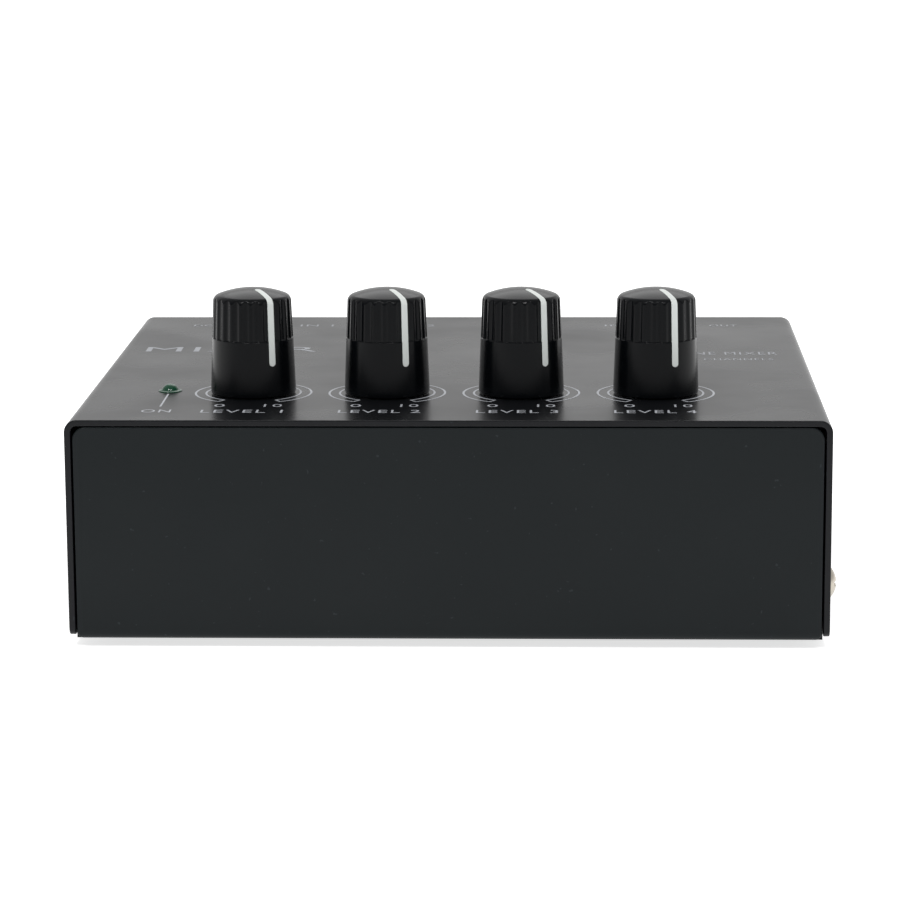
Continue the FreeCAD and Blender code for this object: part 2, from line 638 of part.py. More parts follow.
def make_knob(channel, pointer):
    """Tapered knob with a domed top, finger flutes and a hollow underside."""
    body = new_body(f"knob_blank_{channel}")
    radius = dome("0")[1]
    sketch = new_sketch(body, f"knob_section_{channel}", "XZ_Plane")
    outline(sketch, [
        ("0", "knob_hub_gap"), ("knob_hub_radius", "knob_hub_gap"),
        ("knob_hub_radius", "knob_hollow_top"), ("knob_wall_inner", "knob_hollow_top"),
        ("knob_wall_inner", "knob_gap"), ("knob_base_radius", "knob_gap"),
        ("knob_base_radius", "knob_base_band"),
        ("knob_shoulder_radius", "knob_shoulder_height", "knob_edge", 1),
        ("knob_rim_radius", "knob_dome_rim", radius, 1), ("0", "knob_dome_top")])
    turned = body.newObject("PartDesign::Revolution", f"knob_turned_{channel}")
    turned.Profile = sketch
    turned.ReferenceAxis = (sketch, ["V_Axis"])
    turned.Angle = 360
    doc.recompute()
    flute = new_sketch(body, f"flute_{channel}", "XY_Plane", "flute_start")
    circles(flute, [(f"{side_radius('flute_start')} + flute_radius - flute_depth", "0",
                     "flute_radius")])
    pocket = body.newObject("PartDesign::Pocket", f"flute_pocket_{channel}")
    pocket.Profile = flute
    pocket.Reversed = True
    lean = value("(knob_base_radius - knob_shoulder_radius)"
                 " / (knob_shoulder_height - knob_base_band)")
    pocket.UseCustomVector = True
    pocket.Direction = FreeCAD.Vector(lean, 0, -1)
    bind(pocket, Length="knob_dome_top - flute_start")
    doc.recompute()
    pattern = body.newObject("PartDesign::PolarPattern", f"flutes_{channel}")
    pattern.Originals = [pocket]
    pattern.Axis = (flute, ["N_Axis"])
    pattern.Angle = 360
    bind(pattern, Occurrences="flute_count")
    body.Tip = pattern
    control_place(body, channel)
    doc.recompute()
    bore = make_shaft_stem(f"knob_bore_{channel}", channel, "shaft_radius + shaft_fit",
                           "shaft_flat + shaft_fit", "shaft_fit")
    return node(cut(f"knob_{channel}", body, pointer, bore), f"knob_{channel}")


def make_shaft_stem(name, channel, radius, flat, longer):
    """Round stem with a flat on its upper end; the same form cuts the bore of the knob."""
    root = f"({DECK} + rotor_roof)"
    end = f"({DECK} + pot_height + shaft_length + {longer})"
    stem = rod(f"{name}_stem", radius, f"{end} - {root}", (pot_x(channel), KNOB_Y, root))
    away = doc.addObject("Part::Box", f"{name}_away")
    bind(away, Length="2 * shaft_radius", Width="4 * shaft_radius", Height="2 * flat_length")
    angle = value(f"pointer_{channel}") - 90
    across = (math.cos(math.radians(angle)), math.sin(math.radians(angle)))
    x = f"{pot_x(channel)} + ({flat}) * {across[0]} + 2 * shaft_radius * {across[1]}"
    y = f"{KNOB_Y} + ({flat}) * {across[1]} - 2 * shaft_radius * {across[0]}"
    place(away, x, y, f"{end} - {longer} - flat_length", turn=angle)
    return cut(name, stem, away)


def make_shaft(channel):
    """Shaft with its flange and lower pivot."""
    name = f"pot_shaft_{channel}"
    stem = make_shaft_stem(name, channel, "shaft_radius", "shaft_flat", "0")
    x = pot_x(channel)
    flange = rod(f"{name}_flange", "rotor_radius", "rotor_roof - rotor_floor",
                 (x, KNOB_Y, f"{DECK} + rotor_floor"))
    pivot = rod(f"{name}_pivot", "pivot_radius", "rotor_floor - pivot_floor",
                (x, KNOB_Y, f"{DECK} + pivot_floor"))
    return node(fuse(name, stem, flange, pivot), name)


def make_pot_case(channel):
    """Plastic body of the control: a round chamber, a bearing hole and a pivot hole."""
    name = f"pot_case_{channel}"
    x = pot_x(channel)
    block = box(f"{name}_block", ("pot_width", "pot_depth", "pot_height"),
                (f"{x} - pot_width / 2", f"{KNOB_Y} - pot_depth / 2", DECK))
    chamber = rod(f"{name}_chamber", "pot_cavity_radius", "pot_cavity_roof - pot_cavity_floor",
                  (x, KNOB_Y, f"{DECK} + pot_cavity_floor"))
    bearing = rod(f"{name}_bearing", "shaft_radius + shaft_fit", "pot_height",
                  (x, KNOB_Y, f"{DECK} + pot_cavity_roof - gauge"))
    pivot = rod(f"{name}_pivot_hole", "pivot_radius + shaft_fit", "pot_height / 2",
                (x, KNOB_Y, f"{DECK} + pivot_floor - gauge / 4"))
    return node(cut(name, block, chamber, bearing, pivot), name)


def ring(name, inner, outer, height, base):
    """A flat ring."""
    whole = rod(f"{name}_outer", outer, height, base)
    hole = rod(f"{name}_inner", inner, f"2 * ({height})",
               (base[0], base[1], f"{base[2]} - ({height}) / 2"))
    return cut(name, whole, hole)


def make_wiper(channel):
    """Spring ring under the flange with two contact points on the track."""
    name = f"pot_wiper_{channel}"
    x = pot_x(channel)
    level = f"({DECK} + rotor_floor - wiper_thickness)"
    plate = ring(name, "pivot_radius", "wiper_outer", "wiper_thickness", (x, KNOB_Y, level))
    contact = f"({DECK} + pot_cavity_floor + track_thickness + wiper_lift)"
    middle = "((track_inner + track_outer) / 2)"
    fingers = [rod(f"{name}_finger_{side + 1}", "wiper_finger", f"{level} - {contact}",
                   (f"{x} + {side} * {middle}", KNOB_Y, contact)) for side in (-1, 1)]
    return node(fuse(name, plate, *fingers), name)


def make_tracks():
    """The printed resistance rings on the floors of the four chambers."""
    rings = [ring(f"pot_track_{channel}", "track_inner", "track_outer", "track_thickness",
                  (pot_x(channel), KNOB_Y, f"{DECK} + pot_cavity_floor"))
             for channel in CHANNELS]
    return node(group("pot_tracks", rings), "pot_tracks")


def make_pot_terminals():
    """Square pins from the controls down through the board."""
    pins = []
    for count, (x, y) in enumerate(pin_places()):
        pins.append(box(f"pot_pin_{count}", ("2 * pin_half", "2 * pin_half", "pin_length"),
                        (f"{x} - pin_half", f"{y} - pin_half", f"{DECK} - pin_length")))
    return node(group("pot_terminals", pins), "pot_terminals")


# ---------------------------------------------------------------- jacks and inlet
def make_jack(number):
    """Plastic jack: a block behind the panel, a nose through it, and slots for springs."""
    body = new_body(f"jack_housing_{number}")
    x = jack_x(number)
    rear_end = f"({PANEL_INSIDE} - jack_length)"
    sketch = new_sketch(body, f"jack_block_{number}", "XZ_Plane", f"-{PANEL_INSIDE}")
    outline(sketch, rectangle(f"{x} - jack_width / 2", f"{x} + jack_width / 2", DECK,
                              f"{DECK} + jack_height"))
    feature(body, "Pad", sketch, "jack_length")
    sketch = new_sketch(body, f"jack_nose_{number}", "XZ_Plane", f"-{PANEL_INSIDE}")
    circles(sketch, [(x, JACK_Z, "nose_radius")])
    feature(body, "Pad", sketch, "gauge + nose_reach", reverse=True)
    sketch = new_sketch(body, f"jack_bore_{number}", "XZ_Plane", f"-{REAR} - nose_reach")
    circles(sketch, [(x, JACK_Z, "jack_bore")])
    feature(body, "Pocket", sketch, "jack_bore_length", reverse=True)
    sketch = new_sketch(body, f"jack_tip_slot_{number}", "XY_Plane",
                        f"{DECK} + jack_height + gauge")
    outline(sketch, rectangle(f"{x} - slot_half", f"{x} + slot_half", f"{rear_end} - gauge",
                              f"{rear_end} + tip_slot_length"))
    feature(body, "Pocket", sketch, "gauge + jack_height - jack_axis")
    spring_slot(body, f"jack_sleeve_slot_{number}", x, "sleeve_slot_near",
                "sleeve_slot_far", "jack_axis")
    return node(body, f"jack_housing_{number}")


def make_spring(name, x, corners):
    """A bent strip, drawn from the side and as wide as a spring."""
    body = new_body(name)
    sketch = new_sketch(body, f"{name}_side", "YZ_Plane", x)
    outline(sketch, corners)
    feature(body, "Pad", sketch, "2 * contact_half", both_ways=True)
    return node(body, name)


def make_jack_springs(number):
    """Tip spring over the rear of the hole, sleeve spring under its front."""
    x = jack_x(number)
    thick = "contact_thickness"
    back = f"({PANEL_INSIDE} - jack_length)"
    over = f"({JACK_Z} + jack_bore + contact_gap)"
    ahead = f"({back} + tip_slot_length - contact_gap)"
    outside = f"({back} - {thick} / 2)"
    tail = f"({DECK} - pin_length)"
    make_spring(f"jack_tip_spring_{number}", x, [
        (ahead, over), (ahead, f"{over} + {thick}"),
        (f"{outside} - {thick}", f"{over} + {thick}"), (f"{outside} - {thick}", tail),
        (outside, tail), (outside, over)])
    make_low_spring(f"jack_sleeve_spring_{number}", x, f"({JACK_Z} - jack_bore)",
                    "sleeve_slot_near", "sleeve_slot_far")


def make_low_spring(name, x, bottom, slot_near, slot_far):
    """A strip just under a plug's hole, with a leg down through the board."""
    thick = "contact_thickness"
    low = f"({bottom} - contact_gap)"
    tail = f"({DECK} - pin_length)"
    near_end = f"({PANEL_INSIDE} - {slot_near} - contact_gap)"
    leg = f"({PANEL_INSIDE} - {slot_far} + gauge - {thick} / 2)"
    make_spring(name, x, [
        (leg, tail), (f"{leg} + {thick}", tail), (f"{leg} + {thick}", f"{low} - {thick}"),
        (near_end, f"{low} - {thick}"), (near_end, low), (leg, low)])


def spring_slot(body, name, x, slot_near, slot_far, depth):
    """Cuts the slot for a low spring up into a housing from the board's top."""
    sketch = new_sketch(body, name, "XY_Plane", f"{DECK} - gauge")
    outline(sketch, rectangle(f"{x} - slot_half", f"{x} + slot_half",
                              f"{PANEL_INSIDE} - {slot_far}",
                              f"{PANEL_INSIDE} - {slot_near}"))
    feature(body, "Pocket", sketch, f"gauge + {depth}", reverse=True)


def make_jack_nuts():
    """Hexagon nuts that clamp the noses to the rear panel."""
    nuts = []
    for number in JACKS:
        hexagon = doc.addObject("Part::Prism", f"nut_hexagon_{number}")
        hexagon.Polygon = 6
        bind(hexagon, Circumradius="nut_radius", Height="nut_thickness")
        place(hexagon, jack_x(number), REAR, JACK_Z, (1, 0, 0), -90)
        hole = rod(f"nut_hole_{number}", "nose_radius + nut_fit", "nut_thickness * 2",
                   (jack_x(number), f"{REAR} - nut_thickness / 2", JACK_Z), (1, 0, 0), -90)
        nuts.append(cut(f"jack_nut_{number}", hexagon, hole))
    return node(group("jack_nuts", nuts), "jack_nuts")


def make_inlet():
    """Round power inlet: body with a nose, centre pin and side spring."""
    body = new_body("inlet_body")
    x = "inlet_x"
    sketch = new_sketch(body, "inlet_block", "XZ_Plane", f"-{PANEL_INSIDE}")
    outline(sketch, rectangle(f"{x} - inlet_width / 2", f"{x} + inlet_width / 2", DECK,
                              f"{DECK} + inlet_height"))
    feature(body, "Pad", sketch, "inlet_length")
    sketch = new_sketch(body, "inlet_nose_round", "XZ_Plane", f"-{PANEL_INSIDE}")
    circles(sketch, [(x, INLET_Z, "inlet_nose")])
    feature(body, "Pad", sketch, "gauge", reverse=True)
    sketch = new_sketch(body, "inlet_bore_round", "XZ_Plane", f"-{REAR}")
    circles(sketch, [(x, INLET_Z, "inlet_bore")])
    feature(body, "Pocket", sketch, "inlet_bore_length", reverse=True)
    spring_slot(body, "inlet_slot", x, "inlet_slot_near", "inlet_slot_far", "inlet_axis")
    node(body, "inlet_body")
    pin_root = f"({REAR} - inlet_bore_length)"
    pin = rod("inlet_pin_stem", "inlet_pin", "inlet_bore_length - gauge - inlet_pin",
              (x, pin_root, INLET_Z), (1, 0, 0), -90)
    tip = doc.addObject("Part::Sphere", "inlet_pin_tip")
    bind(tip, Radius="inlet_pin")
    place(tip, x, f"{REAR} - gauge - inlet_pin", INLET_Z)
    node(fuse("inlet_pin", pin, tip), "inlet_pin")
    make_low_spring("inlet_spring", x, f"({INLET_Z} - inlet_bore)", "inlet_slot_near",
                    "inlet_slot_far")


# ---------------------------------------------------------------- lamp
def make_lamp():
    """Green lamp with its flange, the tube that carries it, and its two leads."""
    x = "lamp_x"
    barrel = rod("lamp_barrel", "lamp_radius", "lamp_height - lamp_radius",
                 (x, LAMP_Y, LAMP_FOOT))
    flange = rod("lamp_flange_disc", "lamp_flange", "lamp_flange_height",
                 (x, LAMP_Y, LAMP_FOOT))
    crown = doc.addObject("Part::Sphere", "lamp_crown")
    bind(crown, Radius="lamp_radius")
    crown.Angle1 = 0
    place(crown, x, LAMP_Y, f"{LAMP_FOOT} + lamp_height - lamp_radius")
    node(fuse("lamp_lens", barrel, flange, crown), "lamp_lens")
    node(ring("lamp_spacer", "spacer_bore", "spacer_radius", f"{LAMP_FOOT} - {DECK}",
              (x, LAMP_Y, DECK)), "lamp_spacer")
    leads = [box(f"lamp_lead_{side + 1}",
                 ("2 * lead_half", "2 * lead_half", f"{LAMP_FOOT} - {DECK} + pin_length"),
                 (f"{x} + {side} * lead_offset - lead_half", f"{LAMP_Y} - lead_half",
                  f"{DECK} - pin_length")) for side in (-1, 1)]
    node(group("lamp_leads", leads), "lamp_leads")


# ---------------------------------------------------------------- parts on the board
COMPONENTS = {
    # name: (kind, size of one, places on the board from its middle)
    "op_amps": ("box", (9.4, 6.4, 3.4), [(-26, -2), (0, -2), (26, -2)]),
    "electrolytic_capacitors": ("can", (3.15, 11.0),
                                [(-44, 6), (-36, 8), (46, -33), (46, -21), (-22, -14),
                                 (22, -14)]),
    "film_capacitors": ("box", (7.2, 2.5, 6.5),
                        [(-33, -12), (-11, -12), (11, -12), (33, -12)]),
    "resistors": ("lying", (1.2, 6.3),
                  [(-40, -38), (-28, -38), (-16, -38), (-4, -38), (8, -38), (20, -38),
                   (32, -38), (-14, 4), (12, 4), (38, 4)]),
    "voltage_regulator": ("box", (6.5, 3.5, 1.6), [(-46, -4)]),
    "rectifier_diodes": ("lying", (1.35, 5.2), [(-48, 22), (-48, 27)]),
}


def make_components():
    """Electronic parts that sit on the board, one node for each kind."""
    middle = f"({BOARD_Y} + board_depth / 2)"
    for name, (kind, size, places) in COMPONENTS.items():
        solids = []
        for count, (x, y) in enumerate(places):
            label = f"{name}_{count}"
            if kind == "box":
                corner = (x - size[0] / 2, f"{middle} + {y - size[1] / 2}", DECK)
                solids.append(box(label, size, corner))
            elif kind == "can":
                solids.append(rod(label, size[0], size[1], (x, f"{middle} + {y}", DECK)))
            else:
                base = (x - size[1] / 2, f"{middle} + {y}", f"{DECK} + {size[0]}")
                solids.append(rod(label, size[0], size[1], base, (0, 1, 0), 90))
        node(group(name, solids), name)


# ---------------------------------------------------------------- build, check and write
make_cover()
make_chassis()
make_cover_screws()
make_feet()
make_board()
make_standoffs()
make_board_screws()
for channel in CHANNELS:
    make_knob(channel, make_pointer(channel))
    make_shaft(channel)
    make_pot_case(channel)
    make_wiper(channel)
make_tracks()
make_pot_terminals()
for number in JACKS:
    make_jack(number)
    make_jack_springs(number)
make_jack_nuts()
make_inlet()
make_lamp()
make_components()

doc.recompute()
for item in doc.Objects:
    if "Invalid" in item.State or "Error" in item.State:
        raise RuntimeError(f"{item.Name} failed")
for item in nodes:
    if item.Shape.isNull() or not item.Shape.isValid():
        raise RuntimeError(f"{item.Label} has no valid shape")

os.makedirs("parts", exist_ok=True)
for item in nodes:
    item.Shape.exportStep(f"parts/{item.Label}.step")
    box_ = item.Shape.BoundBox
    print(f"{item.Label}: {len(item.Shape.Solids)} solids, {item.Shape.Volume:.1f} mm3,"
          f" x {box_.XMin:.2f} {box_.XMax:.2f}, y {box_.YMin:.2f} {box_.YMax:.2f},"
          f" z {box_.ZMin:.2f} {box_.ZMax:.2f}")
print(len(nodes), "nodes")
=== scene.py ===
# %% [markdown]
# # A small line mixing console
# The object is a folded steel box, painted black, with four level knobs and a lamp on top and
# five jacks at the rear. The design model gives every size and place. This script adds what
# the eye wants: paint, moulded plastic, nickel, pale print, and finer surfaces where the
# design model is only as fine as its job needs.

# %% Load the fixed frame
import bmesh
import bpy
import json
import math
import numpy as np
from mathutils import Matrix, Vector


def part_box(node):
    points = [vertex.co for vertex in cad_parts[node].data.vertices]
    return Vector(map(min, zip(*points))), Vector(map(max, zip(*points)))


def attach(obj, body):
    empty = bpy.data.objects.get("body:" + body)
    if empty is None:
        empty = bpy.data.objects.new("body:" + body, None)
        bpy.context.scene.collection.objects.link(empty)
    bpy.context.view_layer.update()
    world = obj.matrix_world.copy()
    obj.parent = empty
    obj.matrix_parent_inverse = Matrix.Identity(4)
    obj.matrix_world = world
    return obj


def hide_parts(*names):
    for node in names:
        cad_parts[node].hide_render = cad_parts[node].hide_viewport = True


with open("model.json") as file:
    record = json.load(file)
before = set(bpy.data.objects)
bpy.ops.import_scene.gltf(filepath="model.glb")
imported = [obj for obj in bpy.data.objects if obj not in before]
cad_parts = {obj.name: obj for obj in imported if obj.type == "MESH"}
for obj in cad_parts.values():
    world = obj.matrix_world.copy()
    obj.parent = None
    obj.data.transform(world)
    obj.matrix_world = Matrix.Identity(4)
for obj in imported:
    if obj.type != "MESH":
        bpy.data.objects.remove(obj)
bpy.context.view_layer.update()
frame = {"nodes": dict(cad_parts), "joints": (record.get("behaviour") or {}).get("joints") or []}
MM = 0.001
CHANNELS = (1, 2, 3, 4)

cover_low, cover_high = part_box("top_cover")
chassis_low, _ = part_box("chassis")
TOP = cover_high.z
FRONT = cover_low.y
UNDERSIDE = chassis_low.z
AXES = {joint["child"]: Vector(joint["pos_m"]) for joint in frame["joints"]}
print("cover top at", round(TOP / MM, 2), "mm, front at", round(FRONT / MM, 2), "mm")

# %% [markdown]
# ## The camera
# A long lens (134 mm on a 36 mm sensor) stands half a metre in front of the box and a little to
# its right, and looks down on it by eleven degrees. Blender's camera looks along its own -Z, so
# its rotation is written as three columns: right, up and backwards. That is plainer than
# guessing three Euler angles, and yaw, pitch and roll stay readable.

# %% Camera
LENS_MM = 134.32
SENSOR_MM = 36.0
NEAR_CLIP = 0.01
YAW = math.radians(2.062)
PITCH = math.radians(11.362)
ROLL = math.radians(-0.333)
CAMERA_ASIDE = 18.93
CAMERA_AWAY = 512.88
CAMERA_ABOVE = 133.76


def camera_matrix(place, yaw, pitch, roll):
    """Forward is turned by yaw about Z and tipped down by pitch; right and up turn by roll."""
    forward = Vector((-math.sin(yaw) * math.cos(pitch), math.cos(yaw) * math.cos(pitch),
                      -math.sin(pitch)))
    level = Vector((math.cos(yaw), math.sin(yaw), 0))
    upright = level.cross(forward)
    right = level * math.cos(roll) + upright * math.sin(roll)
    up = upright * math.cos(roll) - level * math.sin(roll)
    matrix = Matrix((right, up, -forward)).transposed().to_4x4()
    matrix.translation = place
    return matrix


camera_data = bpy.data.cameras.new("camera")
camera_data.lens = LENS_MM
camera_data.sensor_width = SENSOR_MM
camera_data.clip_start = NEAR_CLIP
camera = bpy.data.objects.new("camera", camera_data)
bpy.context.scene.collection.objects.link(camera)
camera_place = Vector((CAMERA_ASIDE * MM, FRONT - CAMERA_AWAY * MM,
                       UNDERSIDE + CAMERA_ABOVE * MM))
camera.matrix_world = camera_matrix(camera_place, YAW, PITCH, ROLL)
bpy.context.scene.camera = camera
print("camera at", [round(along / MM, 1) for along in camera_place], "mm")

# %% [markdown]
# ## Colours and nodes
# Colours are written as sRGB hex values and one function turns them to the linear values that a
# shader wants. A second one adds a node together with its settings and links, so that each
# material stays a few lines long. Clicking nodes together by hand would leave nothing to read.

# %% Colour, node and material helpers


def linear(hex_code):
    """An sRGB hex colour as linear red, green, blue: the sRGB curve undone for each channel."""
    channels = np.array([int(hex_code[i:i + 2], 16) for i in (1, 3, 5)]) / 255.0
    curved = np.where(channels <= 0.04045, channels / 12.92, ((channels + 0.055) / 1.055) ** 2.4)
    return (*[float(c) for c in curved], 1.0)


def add(tree, kind, settings=None, **links):
    """Adds a node, sets its properties and inputs, and joins named inputs to other sockets."""
    made = tree.nodes.new(kind)
    for name, setting in (settings or {}).items():
        if hasattr(made, name):
            setattr(made, name, setting)
        else:
            made.inputs[name].default_value = setting
    for name, socket in links.items():
        tree.links.new(socket, made.inputs[name.replace("_", " ")])
    return made


def new_material(name, **values):
    """A material with one Principled shader whose even values sit on its own sockets."""
    material = bpy.data.materials.new(name)
    material.use_nodes = True
    shader = material.node_tree.nodes["Principled BSDF"]
    for socket, setting in values.items():
        shader.inputs[socket.replace("_", " ")].default_value = setting
    return material, material.node_tree, shader

# %% [markdown]
# ## The studio
# Glossy black paint shows what stands around it more than its own colour, so the surroundings
# come before any paint. The sky is white, bright behind the box and dim in front of it: the
# flat top mirrors the bright part and turns grey, while the upright front mirrors the dim part
# and stays dark. The floor glows a little, like a light table, which keeps it white under the
# box, and the glow fades out in front, where it would light up the front panel. A plain grey
# floor would be simpler, but it would put a horizon behind the knobs.

# %% Floor and sky
FLOOR_HALF = 3.0
FLOOR_GLOW = 0.7
GLOW_FADES, GLOW_FULL = -0.34, -0.19
floor_mesh = bpy.data.meshes.new("floor")
floor_mesh.from_pydata([(-FLOOR_HALF, -FLOOR_HALF, 0), (FLOOR_HALF, -FLOOR_HALF, 0),
                        (FLOOR_HALF, FLOOR_HALF, 0), (-FLOOR_HALF, FLOOR_HALF, 0)],
                       [], [(0, 1, 2, 3)])
floor = bpy.data.objects.new("floor", floor_mesh)
bpy.context.scene.collection.objects.link(floor)
light_table, tree, shader = new_material("studio_light_table", Base_Color=linear("#fafafa"),
                                         Roughness=0.9, Emission_Color=(1, 1, 1, 1))
place = add(tree, "ShaderNodeTexCoord").outputs["Object"]
parts = add(tree, "ShaderNodeSeparateXYZ", Vector=place)
glow = add(tree, "ShaderNodeMapRange",
           {"From Min": GLOW_FADES, "From Max": GLOW_FULL, "To Min": 0.0, "To Max": FLOOR_GLOW},
           Value=parts.outputs["Y"])
tree.links.new(glow.outputs["Result"], shader.inputs["Emission Strength"])
floor_mesh.materials.append(light_table)

SKY_FRONT, SKY_REAR = 0.2, 0.88
world = bpy.data.worlds.new("white_studio")
world.use_nodes = True
background = world.node_tree.nodes["Background"]
background.inputs["Color"].default_value = (1, 1, 1, 1)
toward = add(world.node_tree, "ShaderNodeTexCoord").outputs["Generated"]
parts = add(world.node_tree, "ShaderNodeSeparateXYZ", Vector=toward)
sky = add(world.node_tree, "ShaderNodeMapRange",
          {"From Min": -1.0, "From Max": 1.0, "To Min": SKY_FRONT, "To Max": SKY_REAR},
          Value=parts.outputs["Y"])
world.node_tree.links.new(sky.outputs["Result"], background.inputs["Strength"])
bpy.context.scene.world = world
bpy.context.scene.view_settings.view_transform = "Standard"
print("floor", 2 * FLOOR_HALF, "m across, sky", SKY_FRONT, "in front and", SKY_REAR, "behind")

# %% [markdown]
# ## The lamps
# Two small soft lamps in front and above put a glint on each edge, and one wide softbox above
# and behind lights the top and the domes of the knobs. Hard spotlights would be simpler, but
# they would print their own shapes on the paint.

# %% Lamps
AIM = (0, 0, 0.03)
KEY_SIZE, KEY_WATTS = 0.16, 3.0
SOFTBOX_SIZE, SOFTBOX_WATTS = 0.5, 1.0


def soft_lamp(name, place, size, watts):
    """A square area lamp at a place, turned so that its -Z looks at the aim point."""
    data = bpy.data.lights.new(name, "AREA")
    data.size = size
    data.energy = watts
    lamp = bpy.data.objects.new(name, data)
    bpy.context.scene.collection.objects.link(lamp)
    lamp.location = place
    lamp.rotation_euler = (Vector(AIM) - Vector(place)).to_track_quat("-Z", "Y").to_euler()


soft_lamp("key_left", (-0.35, -0.75, 0.95), KEY_SIZE, KEY_WATTS)
soft_lamp("key_right", (0.25, -0.85, 0.95), KEY_SIZE, KEY_WATTS)
soft_lamp("top_softbox", (0.0, 0.50, 0.55), SOFTBOX_SIZE, SOFTBOX_WATTS)
print(len(bpy.data.lights), "lamps")

# %% [markdown]
# ## Surfaces from arrays
# Every new piece here is a sheet of points worked out with numpy: rows along a profile, columns
# round an axis or across a strip. One helper turns such a sheet into a mesh. Modelling by hand
# with extrusions would also work, but a formula keeps each radius readable, and it can be made
# finer where a highlight needs it.

# %% Sheet of points to mesh
MERGE_WITHIN = 2e-7
VANISHING = 1e-8


def grid_faces(rows, columns, closed):
    """Four-sided faces between neighbouring rows and columns; closed joins the last column."""
    width = columns if closed else columns - 1
    row, column = np.meshgrid(np.arange(rows - 1), np.arange(width), indexing="ij")
    following = (column + 1) % columns
    corners = [row * columns + column, row * columns + following,
               (row + 1) * columns + following, (row + 1) * columns + column]
    return np.stack(corners, axis=-1).reshape(-1, 4)


def make_piece(name, points, material, body, sharp):
    """A closed mesh from a sheet of points in metres whose columns go all the way round: doubles
    merge, normals are made to agree, and edges bent by more than sharp degrees stay crisp."""
    mesh = bpy.data.meshes.new(name)
    faces = grid_faces(points.shape[0], points.shape[1], True)
    mesh.from_pydata(points.reshape(-1, 3).tolist(), [], faces.tolist())
    shape = bmesh.new()
    shape.from_mesh(mesh)
    bmesh.ops.remove_doubles(shape, verts=shape.verts, dist=MERGE_WITHIN)
    bmesh.ops.dissolve_degenerate(shape, dist=VANISHING, edges=shape.edges)
    bmesh.ops.recalc_face_normals(shape, faces=shape.faces)
    shape.to_mesh(mesh)
    shape.free()
    mesh.shade_smooth()
    mesh.set_sharp_from_angle(angle=math.radians(sharp))
    mesh.materials.append(material)
    piece = bpy.data.objects.new(name, mesh)
    bpy.context.scene.collection.objects.link(piece)
    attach(piece, body)
    return piece


def arc(centre, radius, first, last, count):
    """Points on a circle from one angle to another, in degrees, as (across, up) pairs."""
    angle = np.radians(np.linspace(first, last, count))
    return np.stack([centre[0] + radius * np.cos(angle), centre[1] + radius * np.sin(angle)], 1)


def line(start, end, count):
    """Evenly spaced points from start to end."""
    share = np.linspace(0, 1, count)[:, None]
    return np.array(start) * (1 - share) + np.array(end) * share


def turned(radius, height, angle, axis):
    """Points at a radius, height and angle round an upright axis, millimetres to metres."""
    across = np.stack([radius * np.cos(angle), radius * np.sin(angle), height], -1) * MM
    return across + np.array([axis.x, axis.y, TOP])

# %% [markdown]
# ## Black paint on folded steel
# Such boxes are sprayed and baked: a black enamel, a little soft in its gloss, with a very fine
# orange peel left by the spray and a few specks of dust baked in. The black itself is almost
# nothing to look at, so the finish is made of its reflection. Real enamel has an index of about
# 1.5. The index here is lower, because the whole studio is white: it keeps the upright panels
# dark, while the flat top, seen at a shallow angle, still turns grey. A broad, faint change in
# roughness keeps the large faces from looking like plastic film.

# %% Paint
PEEL_MM = 0.6
PEEL_DEEP_MM = 0.02
PEEL_STRENGTH = 0.06
BLOTCH_MM = 22
BLOTCH_LOW, BLOTCH_HIGH = 0.3, 0.7
GLOSSIER, DULLER = 0.04, 0.05
DUST_MM = 0.9
DUST_COLOUR = "#23282b"
SPECK_EDGE, SPECK_FULL = 0.76, 0.80
MIX_A, MIX_B, MIX_COLOUR = 6, 7, 2  # the colour sockets of a Mix node


def enamel(name, hex_code, ior, roughness):
    """Baked enamel: a noise bump for the spray's orange peel, broad noise for uneven gloss, and
    the peaks of a third noise for specks of dust."""
    material, tree, shader = new_material(name, IOR=ior)
    place = add(tree, "ShaderNodeTexCoord").outputs["Object"]
    peel = add(tree, "ShaderNodeTexNoise", {"Scale": 1 / (PEEL_MM * MM), "Detail": 2.0},
               Vector=place)
    bump = add(tree, "ShaderNodeBump", {"Strength": PEEL_STRENGTH, "Distance": PEEL_DEEP_MM * MM},
               Height=peel.outputs["Fac"])
    blotch = add(tree, "ShaderNodeTexNoise", {"Scale": 1 / (BLOTCH_MM * MM), "Detail": 3.0},
                 Vector=place)
    gloss = add(tree, "ShaderNodeMapRange",
                {"From Min": BLOTCH_LOW, "From Max": BLOTCH_HIGH,
                 "To Min": roughness - GLOSSIER, "To Max": roughness + DULLER},
                Value=blotch.outputs["Fac"])
    dust = add(tree, "ShaderNodeTexNoise", {"Scale": 1 / (DUST_MM * MM), "Detail": 1.0},
               Vector=place)
    speck = add(tree, "ShaderNodeMapRange", {"From Min": SPECK_EDGE, "From Max": SPECK_FULL},
                Value=dust.outputs["Fac"])
    tint = add(tree, "ShaderNodeMix", {"data_type": "RGBA"})
    tree.links.new(speck.outputs["Result"], tint.inputs["Factor"])
    tint.inputs[MIX_A].default_value = linear(hex_code)
    tint.inputs[MIX_B].default_value = linear(DUST_COLOUR)
    tree.links.new(tint.outputs[MIX_COLOUR], shader.inputs["Base Color"])
    tree.links.new(gloss.outputs["Result"], shader.inputs["Roughness"])
    tree.links.new(bump.outputs["Normal"], shader.inputs["Normal"])
    return material


def finish_node(node, material):
    """Gives a node of the design model its material in every slot."""
    slots = frame["nodes"][node].data.materials
    slots.clear()
    slots.append(material)


# The cover is a warmer black and a little glossier; the chassis is cooler and more matt.
cover_enamel = enamel("black_baked_enamel_on_cover", "#131417", 1.27, 0.28)
chassis_enamel = enamel("black_baked_enamel_on_chassis", "#121719", 1.26, 0.36)
finish_node("top_cover", cover_enamel)
finish_node("chassis", chassis_enamel)
print("painted the cover and the chassis")

